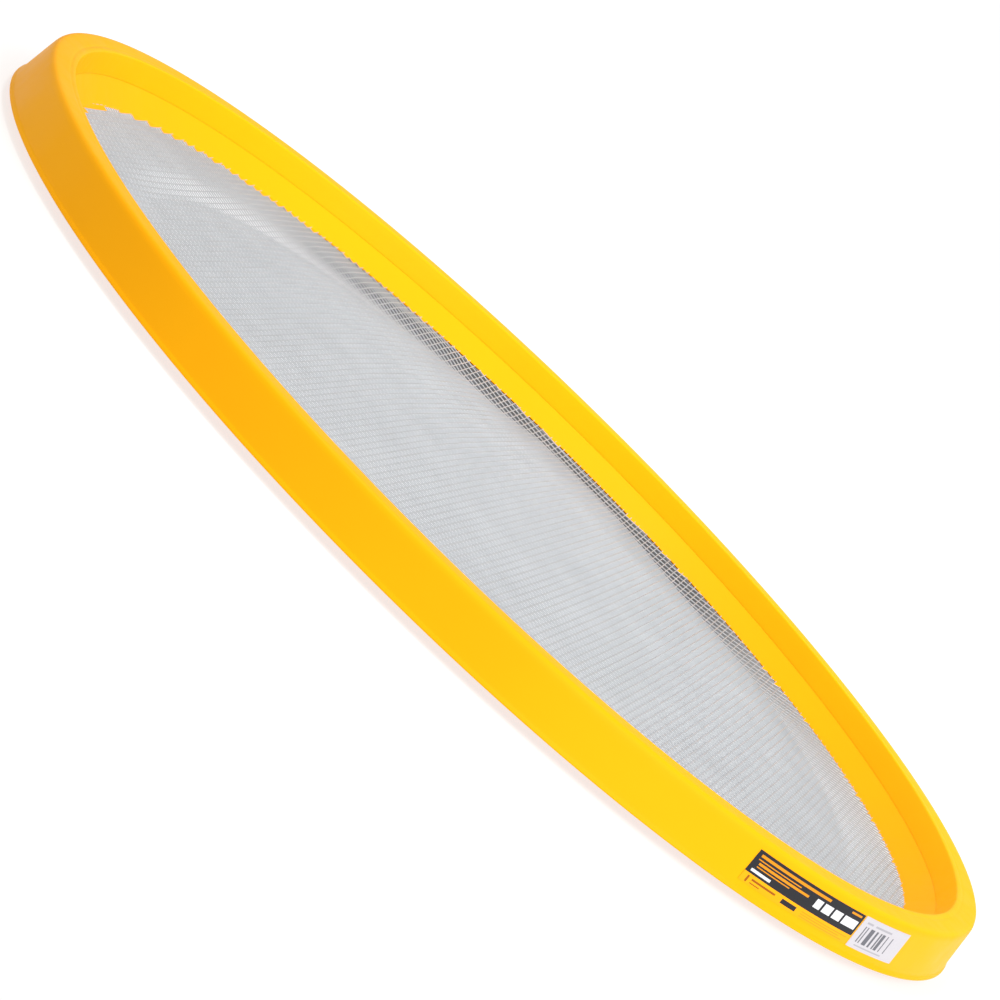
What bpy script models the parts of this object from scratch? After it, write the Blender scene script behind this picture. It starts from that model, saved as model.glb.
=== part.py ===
"""Round hand sieve for sand: a moulded plastic hoop, a clamp ring, a dished wire mesh and two stickers.

The sieve rests on the flat of its dished mesh at z = 0, with its axis on Z and its front towards -Y.
Run it with blender --background --python part.py.
"""

from math import cos, radians, tan

import bpy

# Driving dimensions, in millimetres and degrees.
OUTER_DIAMETER = 550.0  # across the bead of the hoop's skirt, its widest place
HEIGHT = 27.0  # from the mesh's underside to the top of the lip
SKIRT_LOW = 4.0  # lower edge of the outer skirt, which the mesh hangs below
OUTER_LEAN = 3.2  # how far the outer wall leans in between bead and lip
LIP_WIDTH = 12.5  # from the outer wall to the inner wall, at the top
INNER_LEAN = 2.0  # how far the inner wall leans in between lip and shoulder
WALL = 2.2  # thickness of the moulded plastic
EDGE = 0.4  # bevel on the sharp outer edges
BEAD_HEIGHT = 2.2  # of the bead along the skirt's lower edge
BEAD_DEPTH = 0.8  # how far the bead stands out
SHOULDER_HEIGHT = 15.9  # underside of the inner wall, which holds the clamp ring down
SHOULDER_WIDTH = 2.5
SEAT_ANGLE = 33.0  # slope of the seat and of the mesh's rim on it
SEAT_INNER_RADIUS = 252.0
CLAMP_FACE_INNER_RADIUS = 246.8  # lower edge of the clamp ring's visible face
CLAMP_FACE_LOW = 5.7
CLAMP_TIP = 0.3  # how far the clamp ring's underside stops short of that edge
CLAMP_DEPTH = 2.7  # height of the clamp ring's outer side
MESH_THICKNESS = 1.0  # about two wires, one over the other
MESH_FLAT_HEIGHT = 1.0  # top of the flat middle of the mesh
MESH_BEND_RADIUS = 238.5  # where the flat middle ends
GAP = 0.3  # clearance between pieces that touch
STICKER_THICKNESS = 0.3
STICKER_GAP = 0.4  # covers the flats of the hoop's facets as well
LABEL_START = -52.9  # azimuths from +X, with the front of the sieve at -90
LABEL_SPAN = 15.8
LABEL_LOW, LABEL_HIGH = 8.9, 23.0
BARCODE_START = -36.9
BARCODE_SPAN = 8.7
BARCODE_LOW, BARCODE_HIGH = 8.9, 23.2

RING_STEPS = 120  # facets around each ring
STICKER_STEP = 3.0  # degrees of arc for each facet of a sticker
MM = 0.001
MERGE = 0.00001

OUTER_RADIUS = OUTER_DIAMETER / 2
LIP_OUTER_RADIUS = OUTER_RADIUS - BEAD_DEPTH - OUTER_LEAN
LIP_INNER_RADIUS = LIP_OUTER_RADIUS - LIP_WIDTH
SHOULDER_RADIUS = LIP_INNER_RADIUS - INNER_LEAN
REBATE_RADIUS = SHOULDER_RADIUS + SHOULDER_WIDTH
CLAMP_OUTER_RADIUS = REBATE_RADIUS - GAP
CLAMP_TOP = SHOULDER_HEIGHT - GAP


def seat_height(radius, depth):
    """Height of the line that lies `depth` below the clamp ring's underside, square to the seat's slope."""
    slope = radians(SEAT_ANGLE)
    underside = CLAMP_TOP - CLAMP_DEPTH + (radius - CLAMP_OUTER_RADIUS) * tan(slope)
    return underside - depth / cos(slope)


def outer_wall_radius(height):
    """Radius of the hoop's leaning outer wall at a height."""
    share = (height - SKIRT_LOW) / (HEIGHT - SKIRT_LOW)
    return OUTER_RADIUS - BEAD_DEPTH - OUTER_LEAN * share


def hoop_profile():
    """The hoop's section: down the skirt, through the hollow, round the seat and up the inner wall."""
    seat_top = 2 * GAP + MESH_THICKNESS
    seat_bottom = seat_top + WALL
    hollow_radius = REBATE_RADIUS + WALL
    hollow_top = HEIGHT - WALL
    bead_top = SKIRT_LOW + BEAD_HEIGHT
    lip_corner = 2.0
    return [
        (LIP_OUTER_RADIUS - lip_corner, HEIGHT),
        (LIP_OUTER_RADIUS - EDGE, HEIGHT - lip_corner / 2),
        (LIP_OUTER_RADIUS, HEIGHT - lip_corner),
        (outer_wall_radius(bead_top), bead_top),
        (OUTER_RADIUS, SKIRT_LOW + EDGE),
        (OUTER_RADIUS - EDGE, SKIRT_LOW),
        (OUTER_RADIUS - BEAD_DEPTH - WALL, SKIRT_LOW),
        (LIP_OUTER_RADIUS - WALL, hollow_top - EDGE),
        (LIP_OUTER_RADIUS - WALL - EDGE, hollow_top),
        (LIP_INNER_RADIUS + WALL + EDGE, hollow_top),
        (LIP_INNER_RADIUS + WALL, hollow_top - EDGE),
        (hollow_radius, SHOULDER_HEIGHT - WALL),
        (hollow_radius, seat_height(hollow_radius, seat_bottom)),
        (SEAT_INNER_RADIUS, seat_height(SEAT_INNER_RADIUS, seat_bottom)),
        (SEAT_INNER_RADIUS, seat_height(SEAT_INNER_RADIUS, seat_top)),
        (REBATE_RADIUS, seat_height(REBATE_RADIUS, seat_top)),
        (REBATE_RADIUS, SHOULDER_HEIGHT),
        (SHOULDER_RADIUS, SHOULDER_HEIGHT),
        (LIP_INNER_RADIUS, HEIGHT - EDGE * 2),
        (LIP_INNER_RADIUS + EDGE * 2, HEIGHT),
    ]


def clamp_ring_profile():
    """The clamp ring's section: a wedge that is thick under the shoulder and thin at the mesh."""
    tip_radius = CLAMP_FACE_INNER_RADIUS + CLAMP_TIP
    return [
        (CLAMP_OUTER_RADIUS, CLAMP_TOP),
        (CLAMP_OUTER_RADIUS, seat_height(CLAMP_OUTER_RADIUS, 0.0)),
        (tip_radius, seat_height(tip_radius, 0.0)),
        (CLAMP_FACE_INNER_RADIUS, CLAMP_FACE_LOW),
        (SHOULDER_RADIUS, CLAMP_TOP),
    ]


def mesh_profile():
    """Half the mesh's section, from the axis out along the top, round the clamped rim and back underneath."""
    rim_radius = CLAMP_OUTER_RADIUS - GAP
    leave_radius = CLAMP_FACE_INNER_RADIUS - GAP
    top, bottom = GAP, GAP + MESH_THICKNESS
    low = MESH_FLAT_HEIGHT - MESH_THICKNESS
    soften = 0.3  # height of the bend's middle point over the flat
    return [
        (0.0, MESH_FLAT_HEIGHT),
        (MESH_BEND_RADIUS, MESH_FLAT_HEIGHT),
        (MESH_BEND_RADIUS + 3.0, MESH_FLAT_HEIGHT + soften),
        (leave_radius, seat_height(leave_radius, top)),
        (rim_radius, seat_height(rim_radius, top)),
        (rim_radius, seat_height(rim_radius, bottom)),
        (leave_radius, seat_height(leave_radius, bottom)),
        (MESH_BEND_RADIUS + 3.0, low + soften),
        (MESH_BEND_RADIUS, low),
        (0.0, low),
    ]


def material(name, colour, roughness, metallic=0.0):
    """A Principled material of one colour, roughness and metallic value."""
    made = bpy.data.materials.new(name)
    made.use_nodes = True
    shader = made.node_tree.nodes["Principled BSDF"]
    shader.inputs["Base Color"].default_value = (*colour, 1.0)
    shader.inputs["Roughness"].default_value = roughness
    shader.inputs["Metallic"].default_value = metallic
    return made


def turned(name, profile, closed, collection, look):
    """A ring or disc made by turning a section of (radius, height) points about Z."""
    points = [(radius * MM, 0.0, height * MM) for radius, height in profile]
    edges = [(i, i + 1) for i in range(len(points) - 1)]
    if closed:
        edges.append((len(points) - 1, 0))
    mesh = bpy.data.meshes.new(name)
    mesh.from_pydata(points, edges, [])
    piece = bpy.data.objects.new(name, mesh)
    collection.objects.link(piece)
    piece.data.materials.append(look)
    screw = piece.modifiers.new("turn", "SCREW")
    screw.axis = "Z"
    screw.steps = RING_STEPS
    screw.render_steps = RING_STEPS
    screw.use_merge_vertices = True
    screw.merge_threshold = MERGE
    screw.use_smooth_shade = False
    return piece


def sticker(name, start, span, low, high, collection, look):
    """A thin strip that follows the hoop's outer wall from azimuth `start` over `span` degrees."""
    points = [
        ((outer_wall_radius(height) + STICKER_GAP) * MM, 0.0, height * MM)
        for height in (high, low)
    ]
    mesh = bpy.data.meshes.new(name)
    mesh.from_pydata(points, [(0, 1)], [])
    piece = bpy.data.objects.new(name, mesh)
    collection.objects.link(piece)
    piece.data.materials.append(look)
    piece.rotation_euler.z = radians(start)
    steps = round(span / STICKER_STEP)
    screw = piece.modifiers.new("wrap", "SCREW")
    screw.axis = "Z"
    screw.angle = radians(span)
    screw.steps = steps
    screw.render_steps = steps
    screw.merge_threshold = MERGE
    screw.use_smooth_shade = False
    shell = piece.modifiers.new("thickness", "SOLIDIFY")
    shell.thickness = STICKER_THICKNESS * MM
    shell.offset = 1.0
    return piece


def main():
    for old in list(bpy.data.objects):
        bpy.data.objects.remove(old)
    collection = bpy.data.collections.new("sand_sieve")
    bpy.context.scene.collection.children.link(collection)

    plastic = material("yellow_plastic", (1.0, 0.62, 0.01), 0.35)
    clamp_plastic = material("yellow_clamp_plastic", (1.0, 0.66, 0.01), 0.38)
    wire = material("galvanised_wire", (0.72, 0.73, 0.74), 0.4, metallic=1.0)
    label_film = material("label_film", (0.03, 0.03, 0.035), 0.4)
    sticker_paper = material("sticker_paper", (0.85, 0.84, 0.86), 0.5)

    turned("hoop", hoop_profile(), True, collection, plastic)
    turned("clamp_ring", clamp_ring_profile(), True, collection, clamp_plastic)
    turned("wire_mesh", mesh_profile(), False, collection, wire)
    sticker("product_label", LABEL_START, LABEL_SPAN, LABEL_LOW, LABEL_HIGH, collection, label_film)
    sticker(
        "barcode_sticker",
        BARCODE_START,
        BARCODE_SPAN,
        BARCODE_LOW,
        BARCODE_HIGH,
        collection,
        sticker_paper,
    )


main()
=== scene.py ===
"""Looks of the round hand sieve for sand: moulded plastic, woven wire, stickers with generic print.

The sieve rests on its mesh at z = 0, with its axis on Z and its front towards -Y,
as the CAD part does.
"""

from math import cos, pi, radians, sin, tan

import bpy
import numpy as np
from mathutils import Matrix, Vector


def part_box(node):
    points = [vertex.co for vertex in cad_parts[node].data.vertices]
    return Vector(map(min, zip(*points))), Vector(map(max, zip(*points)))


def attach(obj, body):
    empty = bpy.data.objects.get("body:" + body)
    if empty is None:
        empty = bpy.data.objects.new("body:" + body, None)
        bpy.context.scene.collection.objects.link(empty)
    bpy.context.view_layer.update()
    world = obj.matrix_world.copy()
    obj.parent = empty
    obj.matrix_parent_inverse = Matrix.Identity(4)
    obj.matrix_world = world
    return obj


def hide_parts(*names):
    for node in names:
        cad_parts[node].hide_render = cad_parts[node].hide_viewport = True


# Places repeated from the CAD part, in millimetres and degrees.
SKIRT_LOW = 4.0  # lower edge of the outer skirt, which the mesh hangs below
OUTER_LEAN = 3.2  # how far the outer wall leans in between bead and lip
LIP_WIDTH = 12.5
INNER_LEAN = 2.0
WALL = 2.2
BEAD_HEIGHT = 2.2
BEAD_DEPTH = 0.8
SHOULDER_HEIGHT = 15.9
SHOULDER_WIDTH = 2.5
SEAT_ANGLE = 33.0
SEAT_INNER_RADIUS = 252.0
CLAMP_FACE_LOW = 5.7
CLAMP_DEPTH = 2.7
GAP = 0.3
MESH_THICKNESS = 1.0
# A sticker's start and span in degrees from +X, with the front at -90, then its low and high edge.
LABEL_PLACE = (-52.9, 15.8, 8.9, 23.0)
BARCODE_PLACE = (-36.9, 8.7, 8.9, 23.2)

# Fine detail that the CAD part leaves out.
PARTING_GAP = 0.06  # between the shoulder and the clamp ring
RING_STEPS = 360
SHARP_ANGLE = 40.0  # edges sharper than this stay crisp on the stickers and the pressed edge
STICKER_LIFT = 0.05
STICKER_THICKNESS = 0.10

# The wire cloth.
WIRE_PITCH = 3.175  # eight wires to the inch
WIRE_RADIUS = 0.28
WIRE_SIDES = 6
CRIMP = 0.04  # how far a wire swings up and down
COLUMN_RAISE = 0.11  # the columns lie this far above the weave's middle, and the rows below it
WEAVE_TURN = -6.0  # degrees that the weave's rows are turned about Z
LEFT_LEAN = 0.12  # how far the columns lean on the far left, beyond the turn
LEAN_FADE = 160.0  # width over which that lean fades out, across the middle
DRIFT, RIPPLE = 0.35, 0.2  # how far a wire strays, in long and in short waves
WIRE_END_RADIUS = 253.0

# The dish that the cloth hangs in. "Across" runs from -1 at the left to 1 at the right.
FLAT_MIDDLE = 0.5  # height of the flat weave's middle
EDGE_SINK = 0.35  # how far the weave's middle lies below the clamp ring's edge
BEND_SOFTNESS = 0.8  # length over which a bend is rounded
LEDGE = 37.0  # widest shelf between the clamp ring and the dish's slope, on the left
LEDGE_SLOPE = 0.06  # rise of the shelf for each millimetre outwards
LEDGE_START = 0.24  # across to the left, where the shelf begins
LEFT_END = 0.16  # across to the left, where the slope has its left width and drop
SLOPE_WIDTH_LEFT, SLOPE_WIDTH_BACK, SLOPE_WIDTH_RIGHT = 14.0, 8.0, 30.0
SLOPE_WIDTH_ADDED = 4.0  # to the right of the back, where the slope is also deeper
DEEP_START, DEEP_END = 0.2, 0.4  # across, where the slope gets deeper
RIGHT_START = 0.6  # across, where the right slope begins to widen
DROP_BACK, DROP_RIGHT = 2.8, 4.5  # of the slope; on the left it reaches the flat

# The plastic pressed through the outermost cells.
FRINGE_RADIUS = 247.6  # cells whose middle lies beyond this are full of plastic
FRINGE_REACH = 2.3  # how much further they reach in on the left
FRINGE_CHANCE = 0.35  # how far chance moves that limit in or out, cell by cell
FRINGE_WAVES = ((0.45, 7, 0.7), (0.35, 17, 2.0), (0.3, 41, 0.0))  # how far, how often, from where
FRINGE_DEPTH = 4.0  # how far under the clamp ring they go on
FRINGE_THICKNESS = 0.15
FRINGE_TALLEST = 1.6  # highest place of the plastic above the weave's middle
TUCK_START, TUCK_SINK = 0.5, 0.15  # beyond the clamp ring's edge it lies this far below the face

# The camera, as it looks at the sieve: distances in metres, lens and sensor in millimetres.
VIEW_ELEVATION = 10.1
VIEW_ROLL = 44.35  # clockwise turn of the picture
VIEW_DISTANCE = 1.850
VIEW_RIGHT, VIEW_UP = -0.0001, -0.0100  # the sieve's centre from the middle, before the roll
LENS, SENSOR = 154.8, 36.0

# Colours: each surface drifts between two.
HOOP_YELLOWS = (0.96, 0.42, 0.003), (0.95, 0.405, 0.003)
CLAMP_YELLOWS = (0.95, 0.378, 0.003), (0.94, 0.368, 0.003)
ZINC_GREYS = (0.435, 0.45, 0.47), (0.487, 0.502, 0.522)
PAPER_WHITES = (0.50, 0.48, 0.51), (0.55, 0.53, 0.56)

# Light and floor: lengths in metres.
WORLD_STRENGTH = 0.55
KEY_STRENGTH, KEY_ANGLE, KEY_FROM = 2.97, 60.0, (0.67, -0.49, 0.56)
BOX_POWER, BOX_SIZE, BOX_SPREAD = 5.8, 0.3, 140.0
BOX_PLACE, BOX_FROM = (-0.18, -0.14, 0.85), (-0.8, -0.55, 0.6)
FLOOR_SIZE, FLOOR_DROP = 80.0, 0.0001
# The floor glows evenly, but an arc under the far rim has painted shade: a darker colour and a
# weaker glow standing in for the shadow there.
FLOOR_GLOW, PAINTED_SHADE_GLOW = 0.74, 0.14
FLOOR_COLOUR, PAINTED_SHADE_COLOUR = (0.27, 0.27, 0.27), (0.06, 0.06, 0.07)
PAINTED_SHADE_INNER, PAINTED_SHADE_OUTER = (0.195, 0.240), (0.276, 0.292)  # radii where the painted shade arc fades in and out
PAINTED_SHADE_SHIFT, PAINTED_SHADE_SIDES = 0.01, (0.11, 0.26)  # off the axis, where the painted shade fades out sideways
PAINTED_SHADE_FRONT = (0.0, 0.1)  # the painted shade lies only behind the axis

MM = 0.001

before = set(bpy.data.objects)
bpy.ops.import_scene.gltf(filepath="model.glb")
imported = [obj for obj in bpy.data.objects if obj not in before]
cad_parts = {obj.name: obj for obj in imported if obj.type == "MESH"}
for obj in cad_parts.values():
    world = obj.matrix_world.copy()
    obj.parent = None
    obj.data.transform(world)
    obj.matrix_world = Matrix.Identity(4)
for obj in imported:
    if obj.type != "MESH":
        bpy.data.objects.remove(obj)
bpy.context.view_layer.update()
HOOP_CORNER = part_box("hoop")[1]
CLAMP_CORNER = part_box("clamp_ring")[1]
OUTER_RADIUS = HOOP_CORNER.x / MM
HEIGHT = HOOP_CORNER.z / MM
CLAMP_OUTER_RADIUS = CLAMP_CORNER.x / MM
CLAMP_TOP = CLAMP_CORNER.z / MM
LIP_OUTER_RADIUS = OUTER_RADIUS - BEAD_DEPTH - OUTER_LEAN
LIP_INNER_RADIUS = LIP_OUTER_RADIUS - LIP_WIDTH
SHOULDER_RADIUS = LIP_INNER_RADIUS - INNER_LEAN
REBATE_RADIUS = SHOULDER_RADIUS + SHOULDER_WIDTH
CLAMP_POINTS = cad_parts["clamp_ring"].data.vertices
CLAMP_FACE_RADIUS = min(Vector(v.co[:2]).length for v in CLAMP_POINTS) / MM


# ---------------------------------------------------------------- shapes


def outer_wall_radius(height):
    """Radius of the hoop's leaning outer wall at a height."""
    share = (height - SKIRT_LOW) / (HEIGHT - SKIRT_LOW)
    return OUTER_RADIUS - BEAD_DEPTH - OUTER_LEAN * share


def seat_height(radius, depth):
    """Height of the line `depth` below the clamp ring's underside, square to the seat's slope."""
    slope = radians(SEAT_ANGLE)
    underside = CLAMP_TOP - CLAMP_DEPTH + (radius - CLAMP_OUTER_RADIUS) * tan(slope)
    return underside - depth / cos(slope)


def clamp_face_height(radius):
    """Height of the clamp ring's sloping visible face."""
    rise = (CLAMP_TOP - CLAMP_FACE_LOW) / (SHOULDER_RADIUS - CLAMP_FACE_RADIUS)
    return CLAMP_FACE_LOW + (radius - CLAMP_FACE_RADIUS) * rise


def mesh_object(name, points, faces, look, sharp=False):
    """A smooth-shaded object from points in millimetres, with its sharp edges kept if `sharp`."""
    mesh = bpy.data.meshes.new(name)
    mesh.from_pydata(np.asarray(points) * MM, [], faces)
    mesh.validate()
    mesh.shade_smooth()
    if sharp:
        mesh.set_sharp_from_angle(angle=radians(SHARP_ANGLE))
    mesh.materials.append(look)
    made = bpy.data.objects.new(name, mesh)
    bpy.context.scene.collection.objects.link(made)
    return made


def rounded_section(corners, arc_steps=4, longest=3.0):
    """A closed section from (radius, height, cut) corners, each cut back by `cut` and rounded."""
    section = []
    count = len(corners)
    for i, (radius, height, cut) in enumerate(corners):
        corner = Vector((radius, height))
        before = Vector(corners[i - 1][:2]) - corner
        after = Vector(corners[(i + 1) % count][:2]) - corner
        if cut == 0.0:
            section.append(corner)
            continue
        start = corner + before.normalized() * min(cut, before.length * 0.49)
        end = corner + after.normalized() * min(cut, after.length * 0.49)
        for step in range(arc_steps + 1):
            t = step / arc_steps
            section.append(start * (1 - t) ** 2 + corner * 2 * t * (1 - t) + end * t**2)
    points = []
    for here, there in zip(section, section[1:] + section[:1]):
        pieces = max(1, round((there - here).length / longest))
        points += [here.lerp(there, k / pieces) for k in range(pieces)]
    return points


def turned(name, section, look):
    """A ring made by turning a closed section about Z; the section runs down its outer side."""
    count = len(section)
    radius = np.array([p.x for p in section])
    height = np.array([p.y for p in section])
    azimuth = np.arange(RING_STEPS) * 2 * pi / RING_STEPS
    points = np.stack(
        [
            np.outer(np.cos(azimuth), radius),
            np.outer(np.sin(azimuth), radius),
            np.broadcast_to(height, (RING_STEPS, count)),
        ],
        axis=-1,
    ).reshape(-1, 3)
    step, point = np.meshgrid(np.arange(RING_STEPS), np.arange(count), indexing="ij")
    after = (step + 1) % RING_STEPS
    below = (point + 1) % count
    faces = np.stack(
        [step * count + point, step * count + below, after * count + below, after * count + point],
        axis=-1,
    ).reshape(-1, 4)
    return mesh_object(name, points, faces, look)


def hoop(look):
    """The moulded hoop: leaning skirt with a bead, grooved lip, inner wall, rebate and seat."""
    seat_top = 2 * GAP + MESH_THICKNESS
    seat_bottom = seat_top + WALL
    hollow_radius = REBATE_RADIUS + WALL
    hollow_top = HEIGHT - WALL
    bead_top = SKIRT_LOW + BEAD_HEIGHT
    shoulder = SHOULDER_HEIGHT - GAP + PARTING_GAP
    inner, outer = LIP_INNER_RADIUS, LIP_OUTER_RADIUS
    corners = [
        (outer, HEIGHT - 0.1, 3.2),
        (outer_wall_radius(bead_top), bead_top, 0.4),
        (OUTER_RADIUS, SKIRT_LOW + 0.5, 0.5),
        (OUTER_RADIUS - 0.5, SKIRT_LOW, 0.3),
        (OUTER_RADIUS - BEAD_DEPTH - WALL, SKIRT_LOW, 0.5),
        (outer - WALL, hollow_top, 1.0),
        (inner + WALL, hollow_top, 1.0),
        (hollow_radius, SHOULDER_HEIGHT - WALL, 0.8),
        (hollow_radius, seat_height(hollow_radius, seat_bottom), 0.5),
        (SEAT_INNER_RADIUS, seat_height(SEAT_INNER_RADIUS, seat_bottom), 1.2),
        (SEAT_INNER_RADIUS, seat_height(SEAT_INNER_RADIUS, seat_top), 0.3),
        (REBATE_RADIUS, seat_height(REBATE_RADIUS, seat_top), 0.2),
        (REBATE_RADIUS, shoulder, 0.2),
        (SHOULDER_RADIUS, shoulder, 0.12),
        (inner, HEIGHT - 0.15, 0.7),
        (inner + 1.9, HEIGHT, 0.5),  # from here the lip's shallow groove
        (inner + 2.5, HEIGHT - 0.15, 0.3),
        (inner + 3.3, HEIGHT - 0.15, 0.3),
        (inner + 3.9, HEIGHT - 0.03, 0.5),
        (outer - 4.6, HEIGHT - 0.03, 0.4),
    ]
    return turned("hoop_shell", rounded_section(corners), look)


def clamp_ring(look):
    """The clamp ring's wedge, whose face carries on below the shoulder."""
    corners = [
        (CLAMP_OUTER_RADIUS, CLAMP_TOP, 0.2),
        (CLAMP_OUTER_RADIUS, seat_height(CLAMP_OUTER_RADIUS, 0.0), 0.2),
        (CLAMP_FACE_RADIUS + 0.6, seat_height(CLAMP_FACE_RADIUS + 0.6, 0.0), 0.1),
        (CLAMP_FACE_RADIUS + 0.2, clamp_face_height(CLAMP_FACE_RADIUS + 0.2), 0.1),
        (SHOULDER_RADIUS, CLAMP_TOP, 0.15),
    ]
    return turned("clamp_ring_shell", rounded_section(corners), look)


def soft_step(distance):
    """0 before a bend and the distance beyond it after, with a rounded change between."""
    return BEND_SOFTNESS * np.logaddexp(0.0, distance / BEND_SOFTNESS)


def dish_height(x, y):
    """Height of the weave's middle: a slope inside the clamp ring, then a bowl down to the flat.

    On the left the slope is deep and lies beyond a shelf. On the far right it is long and gentle.
    """
    radius = np.hypot(x, y)
    across = x / np.maximum(radius, 1e-6)
    leftness = np.clip((-across - LEDGE_START) / (1.0 - LEDGE_START), 0.0, 1.0)
    left = np.clip(-across / LEFT_END, 0.0, 1.0)
    left = left * left * (3.0 - 2.0 * left)
    deep = np.clip((across - DEEP_START) / (DEEP_END - DEEP_START), 0.0, 1.0)
    right = np.clip((across - RIGHT_START) / (1.0 - RIGHT_START), 0.0, 1.0)
    ledge = LEDGE * leftness**0.75
    width = SLOPE_WIDTH_BACK + (SLOPE_WIDTH_LEFT - SLOPE_WIDTH_BACK) * left
    width = width + SLOPE_WIDTH_ADDED * deep
    width = width + (SLOPE_WIDTH_RIGHT - SLOPE_WIDTH_BACK - SLOPE_WIDTH_ADDED) * right
    edge_middle = CLAMP_FACE_LOW - EDGE_SINK
    drop = DROP_BACK + (DROP_RIGHT - DROP_BACK) * deep
    drop = drop + (edge_middle - FLAT_MIDDLE - DROP_BACK) * left
    slope = (drop - LEDGE_SLOPE * ledge) / width
    upper = CLAMP_FACE_RADIUS - ledge
    lower = upper - width
    low = edge_middle - drop
    bowl = (low - FLAT_MIDDLE) * (1.0 - np.minimum(radius / lower, 1.0) ** 2)
    return (
        low
        - bowl
        + slope * soft_step(radius - lower)
        - (slope - LEDGE_SLOPE) * soft_step(radius - upper)
        + (tan(radians(SEAT_ANGLE)) - LEDGE_SLOPE) * soft_step(radius - CLAMP_FACE_RADIUS)
    )


def dish_normal(x, y):
    """Unit normals of the weave's middle surface."""
    step = 0.2
    slope_x = (dish_height(x + step, y) - dish_height(x - step, y)) / (2 * step)
    slope_y = (dish_height(x, y + step) - dish_height(x, y - step)) / (2 * step)
    normal = np.stack([-slope_x, -slope_y, np.ones_like(slope_x)], axis=-1)
    return normal / np.linalg.norm(normal, axis=-1, keepdims=True)


def weave_place(i, j):
    """Where column i and row j of the weave cross, with the lean and slight drift of real cloth."""
    turn = radians(WEAVE_TURN)
    x = i * WIRE_PITCH
    y = j * WIRE_PITCH
    leftness = np.clip(0.5 - x / LEAN_FADE, 0.0, 1.0)
    lean = LEFT_LEAN * leftness**2 * (3.0 - 2.0 * leftness)
    x = x + lean * np.maximum(y, 0.0) ** 2 / (2.0 * CLAMP_FACE_RADIUS)
    x = x + DRIFT * np.sin(y / 61.0 + 0.8) + RIPPLE * np.sin(x / 37.0 + y / 90.0)
    y = y + DRIFT * np.sin(x / 73.0 + 2.1) + RIPPLE * np.sin(y / 41.0 - x / 80.0)
    return x * cos(turn) - y * sin(turn), x * sin(turn) + y * cos(turn)


def wires(name, columns, rows_of, swap, look):
    """Tubes along each of `columns`, through the crossings that `rows_of` gives.

    `swap` makes them run crosswise.
    """
    points = []
    faces = []
    first = 0
    angle = (np.arange(WIRE_SIDES) + 0.5) * 2 * pi / WIRE_SIDES
    for column in columns:
        rows = rows_of(column)
        if len(rows) < 3:
            continue
        along = np.full(len(rows), column)
        x, y = weave_place(rows, along) if swap else weave_place(along, rows)
        keep = np.hypot(x, y) < WIRE_END_RADIUS
        x, y, rows = x[keep], y[keep], rows[keep]
        if len(rows) < 3:
            continue
        normal = dish_normal(x, y)
        over = np.where((rows + column) % 2 == 0, 1.0, -1.0) * (-1.0 if swap else 1.0)
        lift = over * CRIMP + (-COLUMN_RAISE if swap else COLUMN_RAISE)
        middle = np.stack([x, y, dish_height(x, y)], axis=-1) + normal * lift[:, None]
        heading = np.gradient(middle, axis=0)
        heading /= np.linalg.norm(heading, axis=-1, keepdims=True)
        side = np.cross(heading, (0.0, 0.0, 1.0))
        side /= np.linalg.norm(side, axis=-1, keepdims=True)
        up = np.cross(side, heading)
        ring = (
            middle[:, None, :]
            + WIRE_RADIUS * np.cos(angle)[None, :, None] * side[:, None, :]
            + WIRE_RADIUS * np.sin(angle)[None, :, None] * up[:, None, :]
        )
        count = len(rows)
        points.append(ring.reshape(-1, 3))
        k, s = np.meshgrid(np.arange(count - 1), np.arange(WIRE_SIDES), indexing="ij")
        after = (s + 1) % WIRE_SIDES
        quads = np.stack(
            [
                first + k * WIRE_SIDES + s,
                first + k * WIRE_SIDES + after,
                first + (k + 1) * WIRE_SIDES + after,
                first + (k + 1) * WIRE_SIDES + s,
            ],
            axis=-1,
        ).reshape(-1, 4)
        faces += quads.tolist()
        faces.append(list(range(first + WIRE_SIDES - 1, first - 1, -1)))
        last = first + (count - 1) * WIRE_SIDES
        faces.append(list(range(last, last + WIRE_SIDES)))
        first += count * WIRE_SIDES
    return mesh_object(name, np.concatenate(points), faces, look)


def crossings(column):
    """Row numbers that a wire meets inside the rim."""
    reach = WIRE_END_RADIUS**2 - (column * WIRE_PITCH) ** 2
    last = int((max(reach, 0.0) ** 0.5 + 2.0) / WIRE_PITCH)
    return np.arange(-last, last + 1)


def wire_cloth(look):
    """The woven cloth, as four groups of wires."""
    most = int(WIRE_END_RADIUS / WIRE_PITCH)
    left, right = range(-most, 0), range(0, most + 1)
    return [
        wires("warp_wires_left", left, crossings, False, look),
        wires("warp_wires_right", right, crossings, False, look),
        wires("weft_wires_front", left, crossings, True, look),
        wires("weft_wires_back", right, crossings, True, look),
    ]


def fringe(look):
    """Plastic pressed through the outermost cells of the weave, which leaves a stepped edge."""
    most = int(WIRE_END_RADIUS / WIRE_PITCH) + 1
    numbers = np.arange(-most, most + 1)
    i, j = np.meshgrid(numbers, numbers, indexing="ij")
    x, y = weave_place(i + 0.5, j + 0.5)
    radius = np.hypot(x, y)
    azimuth = np.arctan2(y, x)
    left = np.clip(-np.cos(azimuth) - 0.1, 0.0, 1.0)
    wander = sum(size * np.sin(count * azimuth + start) for size, count, start in FRINGE_WAVES)
    chance = np.random.default_rng(7).uniform(-FRINGE_CHANCE, FRINGE_CHANCE, radius.shape)
    limit = FRINGE_RADIUS - FRINGE_REACH * left + (0.6 + left) * (wander + chance)
    filled = (radius > limit) & (radius < CLAMP_FACE_RADIUS + FRINGE_DEPTH)
    cells = set(zip(i[filled].tolist(), j[filled].tolist()))
    return mesh_object("pressed_edge", *cell_blocks(cells), look, sharp=True)


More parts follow.
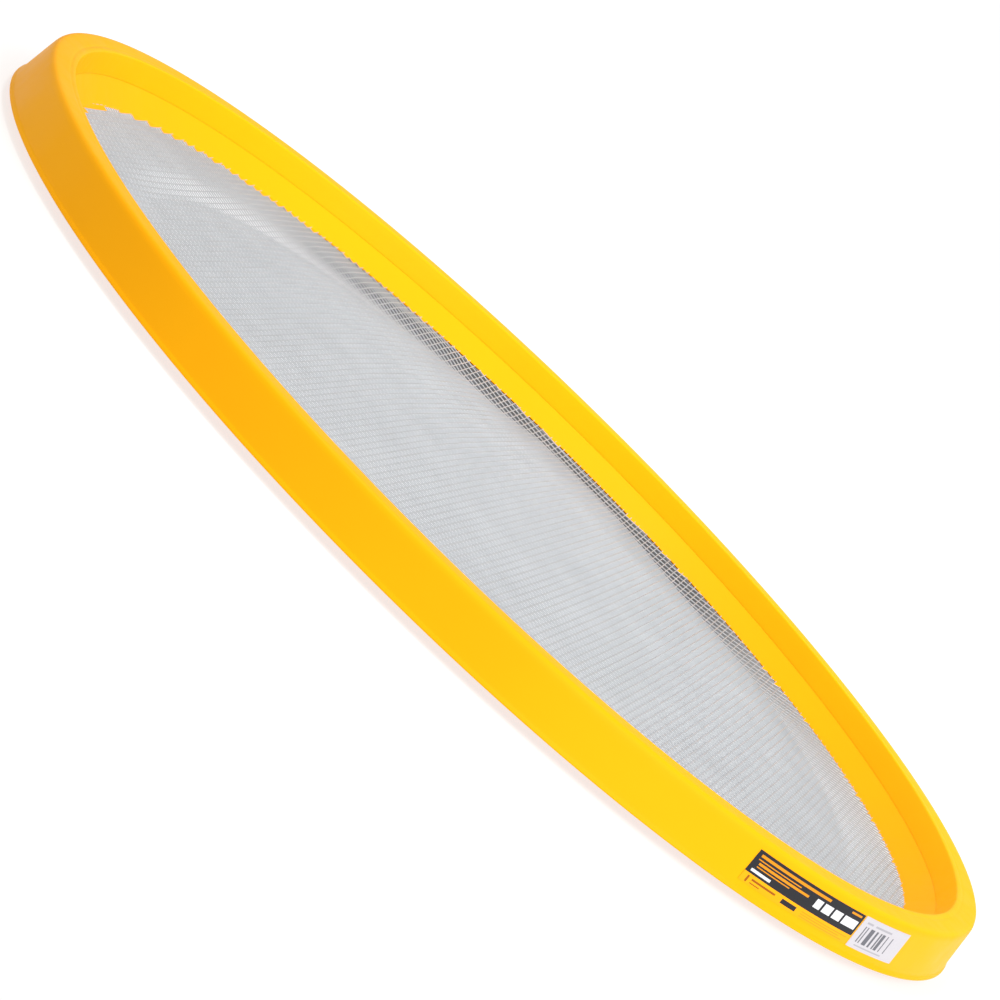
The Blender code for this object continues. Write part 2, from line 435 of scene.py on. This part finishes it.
def cell_blocks(cells, parts=3):
    """Points and faces of the plastic in `cells`: a skin over them, one under, and outer walls.

    Each cell's side is cut into `parts`, and corners are numbered on that finer grid.
    """
    numbers = {}
    skin = []
    walls = []

    def corner(a, b):
        return numbers.setdefault((a, b), len(numbers))

    # The neighbour beyond each side of a cell, and the side's first and last corner.
    sides = (
        ((0, -1), (0, 0), (1, 0)),
        ((1, 0), (1, 0), (1, 1)),
        ((0, 1), (1, 1), (0, 1)),
        ((-1, 0), (0, 1), (0, 0)),
    )
    for column, row in sorted(cells):
        for a in range(parts * column, parts * (column + 1)):
            for b in range(parts * row, parts * (row + 1)):
                quad = ((a, b), (a + 1, b), (a + 1, b + 1), (a, b + 1))
                skin.append([corner(*point) for point in quad])
        for (across, along), start, end in sides:
            if (column + across, row + along) in cells:
                continue
            edge = [
                (
                    parts * column + start[0] * (parts - k) + end[0] * k,
                    parts * row + start[1] * (parts - k) + end[1] * k,
                )
                for k in range(parts + 1)
            ]
            walls += [(corner(*there), corner(*here)) for here, there in zip(edge, edge[1:])]
    share = np.array(sorted(numbers, key=numbers.get)) / parts
    x, y = weave_place(share[:, 0], share[:, 1])
    radius = np.hypot(x, y)
    middle = dish_height(x, y)
    tuck = np.where(radius > CLAMP_FACE_RADIUS + TUCK_START, TUCK_SINK, 0.0)
    top = np.maximum(middle + EDGE_SINK, clamp_face_height(radius) - tuck)
    top = np.minimum(top, middle + FRINGE_TALLEST)
    bottom = top - FRINGE_THICKNESS
    points = np.concatenate([np.stack([x, y, height], axis=-1) for height in (top, bottom)])
    under = len(numbers)
    faces = skin + [[under + n for n in reversed(quad)] for quad in skin]
    faces += [[here, there, there + under, here + under] for here, there in walls]
    return points, faces


def sticker(name, start, span, low, high, look):
    """A thin film on the outer wall, with u along it from 0 to 1 and v up it from 0 to 1."""
    columns, rows = 48, 8
    points = []
    coordinates = []
    for lift in (STICKER_LIFT + STICKER_THICKNESS, STICKER_LIFT):
        for a in range(columns + 1):
            azimuth = radians(start + span * a / columns)
            for b in range(rows + 1):
                height = low + (high - low) * b / rows
                radius = outer_wall_radius(height) + lift
                points.append((radius * cos(azimuth), radius * sin(azimuth), height))
                coordinates.append((a / columns, b / rows))
    under = (columns + 1) * (rows + 1)
    faces = []
    for a in range(columns):
        for b in range(rows):
            here = a * (rows + 1) + b
            quad = [here, here + rows + 1, here + rows + 2, here + 1]
            faces.append(quad)
            faces.append([under + q for q in reversed(quad)])
    rim = [(a, 0) for a in range(columns + 1)]
    rim += [(columns, b) for b in range(1, rows + 1)]
    rim += [(a, rows) for a in range(columns - 1, -1, -1)]
    rim += [(0, b) for b in range(rows - 1, 0, -1)]
    for (a, b), (c, d) in zip(rim, rim[1:] + rim[:1]):
        here, there = a * (rows + 1) + b, c * (rows + 1) + d
        faces.append([there, here, here + under, there + under])
    made = mesh_object(name, points, faces, look, sharp=True)
    layer = made.data.uv_layers.new(name="print")
    for loop in made.data.loops:
        layer.data[loop.index].uv = coordinates[loop.vertex_index]
    return made


# ---------------------------------------------------------------- materials


class Look:
    """A material's node tree with short helpers."""

    def __init__(self, name):
        self.material = bpy.data.materials.new(name)
        self.material.use_nodes = True
        self.nodes = self.material.node_tree.nodes
        self.links = self.material.node_tree.links
        self.shader = self.nodes["Principled BSDF"]

    def feed(self, socket, value):
        if isinstance(value, bpy.types.NodeSocket):
            self.links.new(value, socket)
        else:
            socket.default_value = value

    def math(self, operation, *values):
        node = self.nodes.new("ShaderNodeMath")
        node.operation = operation
        for socket, value in zip(node.inputs, values):
            self.feed(socket, value)
        return node.outputs[0]

    def noise(self, place, scale, detail=2.0, roughness=0.5):
        node = self.nodes.new("ShaderNodeTexNoise")
        self.feed(node.inputs["Vector"], place)
        node.inputs["Scale"].default_value = scale
        node.inputs["Detail"].default_value = detail
        node.inputs["Roughness"].default_value = roughness
        return node.outputs["Fac"]

    def remap(self, value, low, high, new_low, new_high):
        node = self.nodes.new("ShaderNodeMapRange")
        self.feed(node.inputs["Value"], value)
        node.inputs["From Min"].default_value = low
        node.inputs["From Max"].default_value = high
        node.inputs["To Min"].default_value = new_low
        node.inputs["To Max"].default_value = new_high
        return node.outputs["Result"]

    def blend(self, share, first, second):
        node = self.nodes.new("ShaderNodeMix")
        node.data_type = "RGBA"
        colours = [s for s in node.inputs if s.type == "RGBA"]
        self.feed(node.inputs["Factor"], share)
        for socket, value in zip(colours, (first, second)):
            self.feed(socket, value if isinstance(value, bpy.types.NodeSocket) else (*value, 1.0))
        return next(s for s in node.outputs if s.type == "RGBA")

    def object_place(self):
        return self.nodes.new("ShaderNodeTexCoord").outputs["Object"]

    def bump(self, height, strength, distance):
        node = self.nodes.new("ShaderNodeBump")
        self.feed(node.inputs["Height"], height)
        node.inputs["Strength"].default_value = strength
        node.inputs["Distance"].default_value = distance
        self.links.new(node.outputs["Normal"], self.shader.inputs["Normal"])


def moulded_plastic(name, colour, deeper):
    """Satin yellow plastic: faint colour drift, uneven gloss and a fine grain."""
    look = Look(name)
    place = look.object_place()
    drift = look.remap(look.noise(place, 14.0, 3.0), 0.35, 0.65, 0.0, 1.0)
    look.feed(look.shader.inputs["Base Color"], look.blend(drift, colour, deeper))
    gloss = look.remap(look.noise(place, 60.0, 4.0, 0.6), 0.3, 0.7, 0.38, 0.50)
    look.feed(look.shader.inputs["Roughness"], gloss)
    look.shader.inputs["Specular IOR Level"].default_value = 0.04
    grain = look.noise(place, 1400.0, 2.0, 0.6)
    look.bump(grain, 0.12, 0.0001)
    return look.material


def galvanised_wire():
    """Dull zinc-coated steel with brighter and greyer stretches."""
    look = Look("galvanised_wire")
    place = look.object_place()
    patches = look.remap(look.noise(place, 25.0, 4.0, 0.65), 0.3, 0.7, 0.0, 1.0)
    look.feed(look.shader.inputs["Base Color"], look.blend(patches, *ZINC_GREYS))
    gloss = look.remap(look.noise(place, 160.0, 3.0), 0.3, 0.7, 0.42, 0.55)
    look.feed(look.shader.inputs["Roughness"], gloss)
    look.shader.inputs["Metallic"].default_value = 0.4
    return look.material


def print_place(look):
    """The u and v of a sticker's print."""
    node = look.nodes.new("ShaderNodeUVMap")
    node.uv_map = "print"
    split = look.nodes.new("ShaderNodeSeparateXYZ")
    look.links.new(node.outputs["UV"], split.inputs[0])
    return split.outputs[0], split.outputs[1]


def box_mask(look, u, v, left, right, low, high):
    """1 inside a box of the print, 0 outside."""
    inside_u = look.math("COMPARE", u, (left + right) / 2, (right - left) / 2)
    inside_v = look.math("COMPARE", v, (low + high) / 2, (high - low) / 2)
    return look.math("MULTIPLY", inside_u, inside_v)


def printed(look, u, v, colour, ink, boxes):
    """`colour` with each (left, right, low, high) box filled with `ink`."""
    for box in boxes:
        colour = look.blend(box_mask(look, u, v, *box), colour, ink)
    return colour


def product_label():
    """Charcoal film over a yellow strip, with plain bars and blocks instead of words."""
    look = Look("label_film")
    u, v = print_place(look)
    yellow, charcoal, white = (0.94, 0.38, 0.003), (0.024, 0.024, 0.028), (0.72, 0.72, 0.74)
    orange, rust, ochre = (0.72, 0.26, 0.01), (0.32, 0.10, 0.005), (0.86, 0.25, 0.01)
    panel = [(0.0, 1.0, 0.30, 1.0)]
    lines = [
        (0.03, 0.66, 0.83, 0.91),
        (0.03, 0.40, 0.73, 0.76),
        (0.05, 0.49, 0.61, 0.68),
        (0.05, 0.33, 0.53, 0.56),
        (0.87, 0.975, 0.87, 0.93),
    ]
    blocks = [
        (0.03, 0.19, 0.37, 0.45),
        (0.56, 0.62, 0.47, 0.74),
        (0.64, 0.72, 0.47, 0.74),
        (0.74, 0.82, 0.47, 0.74),
        (0.84, 0.98, 0.47, 0.74),
    ]
    tag = [(0.34, 0.47, 0.08, 0.22)]
    marks = [(0.04, 0.055, 0.04, 0.24), (0.08, 0.28, 0.15, 0.21), (0.08, 0.16, 0.06, 0.09)]
    small = [(0.52, 0.97, 0.19, 0.21), (0.52, 0.90, 0.12, 0.14), (0.52, 0.94, 0.05, 0.07)]
    colour = yellow
    inks = (charcoal, orange, white, charcoal, rust, ochre)
    for ink, boxes in zip(inks, (panel, lines, blocks, tag, marks, small)):
        colour = printed(look, u, v, colour, ink, boxes)
    wear = look.remap(look.noise(look.object_place(), 900.0, 3.0), 0.3, 0.7, 0.36, 0.48)
    look.feed(look.shader.inputs["Base Color"], colour)
    look.feed(look.shader.inputs["Roughness"], wear)
    look.shader.inputs["Specular IOR Level"].default_value = 0.1
    return look.material


def barcode_sticker():
    """White paper with plain upright bars and a few faint strokes above and below them."""
    look = Look("sticker_paper")
    u, v = print_place(look)
    fibre = look.remap(look.noise(look.object_place(), 2500.0, 3.0), 0.3, 0.7, 0.0, 1.0)
    paper = look.blend(fibre, *PAPER_WHITES)
    grey, pale_grey = (0.13, 0.13, 0.15), (0.36, 0.35, 0.38)
    widths = (0.02, 0.02, 0.08, 0.04, 0.03, 0.06, 0.02, 0.02)
    spaces = (0.03, 0.05, 0.04, 0.05, 0.02, 0.05, 0.09, 0.1)
    bars = []
    left = 0.10
    for width, space in zip(widths, spaces):
        bars.append((left, left + width, 0.20, 0.72))
        left += width + space
    faint = [(0.08, 0.20, 0.80, 0.86), (0.26, 0.62, 0.80, 0.86), (0.12, 0.70, 0.09, 0.13)]
    colour = printed(look, u, v, paper, grey, bars)
    colour = printed(look, u, v, colour, pale_grey, faint)
    look.feed(look.shader.inputs["Base Color"], colour)
    look.shader.inputs["Roughness"].default_value = 0.6
    look.shader.inputs["Specular IOR Level"].default_value = 0.25
    return look.material


def pale_floor():
    """A white light table that glows evenly, with painted shade under the sieve's far rim: an arc
    of darker colour and weaker glow.
    """
    look = Look("pale_floor")
    place = look.object_place()
    split = look.nodes.new("ShaderNodeSeparateXYZ")
    look.feed(split.inputs[0], place)
    distance = look.nodes.new("ShaderNodeVectorMath")
    distance.operation = "LENGTH"
    look.feed(distance.inputs[0], place)
    radius = distance.outputs["Value"]
    inside = look.remap(radius, *PAINTED_SHADE_INNER, 0.0, 1.0)
    outside = look.remap(radius, *PAINTED_SHADE_OUTER, 1.0, 0.0)
    off_axis = look.math("ABSOLUTE", look.math("ADD", split.outputs[0], PAINTED_SHADE_SHIFT))
    near_axis = look.remap(off_axis, *PAINTED_SHADE_SIDES, 1.0, 0.0)
    behind = look.remap(split.outputs[1], *PAINTED_SHADE_FRONT, 0.0, 1.0)
    ring = look.math("MULTIPLY", inside, outside)
    painted_shade = look.math("MULTIPLY", ring, look.math("MULTIPLY", near_axis, behind))
    # The arc gets a darker colour and a weaker glow: painted shade under the far rim.
    look.feed(look.shader.inputs["Base Color"], look.blend(painted_shade, FLOOR_COLOUR, PAINTED_SHADE_COLOUR))
    look.shader.inputs["Roughness"].default_value = 0.8
    look.shader.inputs["Specular IOR Level"].default_value = 0.0
    look.shader.inputs["Emission Color"].default_value = (1.0, 1.0, 1.0, 1.0)
    glow = look.remap(painted_shade, 0.0, 1.0, FLOOR_GLOW, PAINTED_SHADE_GLOW)
    look.feed(look.shader.inputs["Emission Strength"], glow)
    return look.material


# ---------------------------------------------------------------- studio


def studio():
    """A glowing white floor with a painted shadow arc under the far rim, a dim surrounding light, a
    very soft key light and a soft box.
    """
    bpy.ops.mesh.primitive_plane_add(size=FLOOR_SIZE, location=(0.0, 0.0, -FLOOR_DROP))
    floor = bpy.context.object
    floor.name = "floor"
    floor.data.materials.append(pale_floor())
    world = bpy.data.worlds.new("studio")
    bpy.context.scene.world = world
    world.use_nodes = True
    background = world.node_tree.nodes["Background"]
    background.inputs["Color"].default_value = (1.0, 1.0, 1.0, 1.0)
    background.inputs["Strength"].default_value = WORLD_STRENGTH
    key = bpy.data.lights.new("key", "SUN")
    key.energy = KEY_STRENGTH
    key.angle = radians(KEY_ANGLE)
    light(key, (0.0, 0.0, 1.0), KEY_FROM)
    box = bpy.data.lights.new("soft_box", "AREA")
    box.energy = BOX_POWER
    box.spread = radians(BOX_SPREAD)
    box.size = BOX_SIZE
    light(box, BOX_PLACE, BOX_FROM)


def light(lamp, at, source):
    """A lamp that stands at `at` and shines from the direction `source` towards the sieve."""
    made = bpy.data.objects.new(lamp.name, lamp)
    made.location = at
    made.rotation_euler = Vector(source).to_track_quat("Z", "Y").to_euler()
    bpy.context.scene.collection.objects.link(made)


def camera():
    """A long lens from the front, a little above the rim, with the picture turned."""
    elevation, roll = radians(VIEW_ELEVATION), radians(VIEW_ROLL)
    right = Vector((1.0, 0.0, 0.0))
    forward = Vector((0.0, cos(elevation), -sin(elevation)))
    up = Vector((0.0, sin(elevation), cos(elevation)))
    place = -VIEW_RIGHT * right - VIEW_UP * up - VIEW_DISTANCE * forward
    picture_right = cos(roll) * right + sin(roll) * up
    picture_up = cos(roll) * up - sin(roll) * right
    data = bpy.data.cameras.new("camera")
    data.lens = LENS
    data.sensor_width = SENSOR
    data.clip_start = 0.05
    data.clip_end = 200.0
    made = bpy.data.objects.new("camera", data)
    axes = Matrix((picture_right, picture_up, -forward)).transposed().to_4x4()
    made.matrix_world = Matrix.Translation(place) @ axes
    bpy.context.scene.collection.objects.link(made)
    bpy.context.scene.camera = made


def place(piece, node, slot):
    """The piece rides with the sieve and stands for its CAD node."""
    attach(piece, "root")
    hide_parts(node)


def main():
    camera()
    studio()
    plastic = moulded_plastic("hoop_plastic", *HOOP_YELLOWS)
    clamp_plastic = moulded_plastic("clamp_plastic", *CLAMP_YELLOWS)
    wire = galvanised_wire()
    place(hoop(plastic), "hoop", "hoop_plastic")
    place(clamp_ring(clamp_plastic), "clamp_ring", "clamp_plastic")
    place(fringe(clamp_plastic), "clamp_ring", "clamp_plastic")
    for group in wire_cloth(wire):
        place(group, "wire_mesh", "wire")
    label = sticker("product_label_film", *LABEL_PLACE, product_label())
    place(label, "product_label", "label")
    paper = sticker("barcode_paper", *BARCODE_PLACE, barcode_sticker())
    place(paper, "barcode_sticker", "sticker")
    bpy.context.scene.view_settings.view_transform = "Standard"


main()
